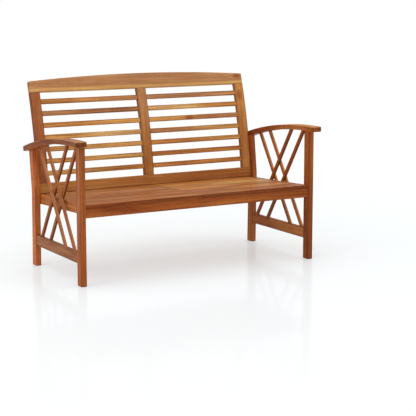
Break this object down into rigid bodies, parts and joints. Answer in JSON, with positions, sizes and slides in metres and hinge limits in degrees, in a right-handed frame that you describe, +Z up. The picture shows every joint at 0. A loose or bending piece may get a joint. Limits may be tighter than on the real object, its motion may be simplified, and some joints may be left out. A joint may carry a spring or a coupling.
{
  "type": "garden bench",
  "caption": "Low slatted wooden bench for two with latticed arm frames, bowed armrests and a back panel with curved stiles and an arched top rail.",
  "frame": {"origin": "centre of the bench's footprint box, on the floor under its feet", "axes": "+X along the bench's width, to the right as seen by someone facing it; +Y from its front to its back; +Z up"},
  "size_m": [1.192, 0.632, 0.8225],
  "materials": {
    "frame_acacia": "oiled, satin",
    "armrest_acacia": "oiled, satin",
    "back_acacia": "oiled, satin",
    "seat_acacia": "oiled, satin",
    "dowel_beech": "plain",
    "zinc_steel": "zinc plated"
  },
  "bodies": {
    "root": {"left_front_leg": "frame_acacia", "left_rear_leg": "frame_acacia", "left_side_stretcher": "frame_acacia", "left_armrest": "armrest_acacia", "left_front_outer_lattice_bar": "frame_acacia", "left_rear_outer_lattice_bar": "frame_acacia", "left_front_inner_lattice_bar": "frame_acacia", "left_rear_inner_lattice_bar": "frame_acacia", "right_front_leg": "frame_acacia", "right_rear_leg": "frame_acacia", "right_side_stretcher": "frame_acacia", "right_armrest": "armrest_acacia", "right_front_outer_lattice_bar": "frame_acacia", "right_rear_outer_lattice_bar": "frame_acacia", "right_front_inner_lattice_bar": "frame_acacia", "right_rear_inner_lattice_bar": "frame_acacia", "left_stile": "back_acacia", "centre_stile": "back_acacia", "right_stile": "back_acacia", "crest_rail": "back_acacia", "back_bottom_rail": "back_acacia", "left_back_slat_1": "back_acacia", "left_back_slat_2": "back_acacia", "left_back_slat_3": "back_acacia", "left_back_slat_4": "back_acacia", "left_back_slat_5": "back_acacia", "left_back_slat_6": "back_acacia", "left_back_slat_7": "back_acacia", "right_back_slat_1": "back_acacia", "right_back_slat_2": "back_acacia", "right_back_slat_3": "back_acacia", "right_back_slat_4": "back_acacia", "right_back_slat_5": "back_acacia", "right_back_slat_6": "back_acacia", "right_back_slat_7": "back_acacia", "left_seat_rail": "seat_acacia", "seat_centre_bearer": "seat_acacia", "right_seat_rail": "seat_acacia", "front_apron": "seat_acacia", "rear_seat_rail": "seat_acacia", "left_seat_slat_1": "seat_acacia", "left_seat_slat_2": "seat_acacia", "left_seat_slat_3": "seat_acacia", "left_seat_slat_4": "seat_acacia", "left_seat_slat_5": "seat_acacia", "right_seat_slat_1": "seat_acacia", "right_seat_slat_2": "seat_acacia", "right_seat_slat_3": "seat_acacia", "right_seat_slat_4": "seat_acacia", "right_seat_slat_5": "seat_acacia", "joint_bolts": "zinc_steel", "barrel_nuts": "zinc_steel", "bolt_plugs": "frame_acacia", "locating_dowels": "dowel_beech"}
  },
  "joints": []
}
